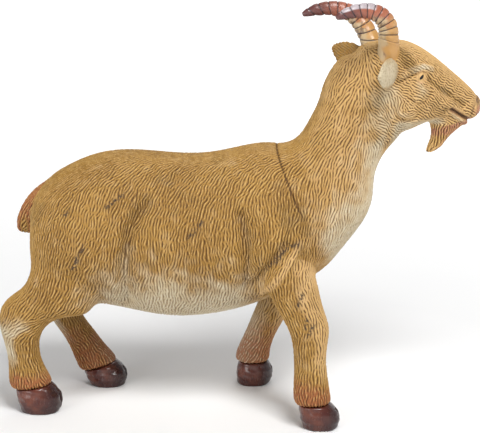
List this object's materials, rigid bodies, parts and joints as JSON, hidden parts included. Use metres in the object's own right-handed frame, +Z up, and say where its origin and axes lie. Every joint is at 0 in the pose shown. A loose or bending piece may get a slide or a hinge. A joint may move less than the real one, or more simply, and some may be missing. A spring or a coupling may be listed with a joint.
{
  "type": "goat figurine",
  "caption": "Standing bearded goat figurine with swept-back ringed horns, moulded fur and cloven hooves, glued from hollow and solid mouldings; rests on four flat soles",
  "frame": {"origin": "middle of the figure's box on the standing surface, level with the soles", "axes": "+X is the way the goat faces, from tail to nose; +Y is the goat's left side; +Z is up"},
  "size_m": [0.2996, 0.1004, 0.2582],
  "materials": {
    "painted_coat": "moulded fur, dry-brushed ochre paint over soft plastic",
    "painted_hoof": "glossy dark brown paint over soft plastic",
    "painted_horn": "satin brown paint, darker to the tip"
  },
  "bodies": {
    "root": {"trunk_shell": "painted_coat", "head_neck_shell": "painted_coat", "right_horn": "painted_horn", "left_horn": "painted_horn", "right_ear": "painted_coat", "left_ear": "painted_coat", "tail": "painted_coat", "front_right_leg": "painted_coat", "front_left_leg": "painted_coat", "hind_right_leg": "painted_coat", "hind_left_leg": "painted_coat", "front_right_hoof": "painted_hoof", "front_left_hoof": "painted_hoof", "hind_right_hoof": "painted_hoof", "hind_left_hoof": "painted_hoof"}
  },
  "joints": []
}
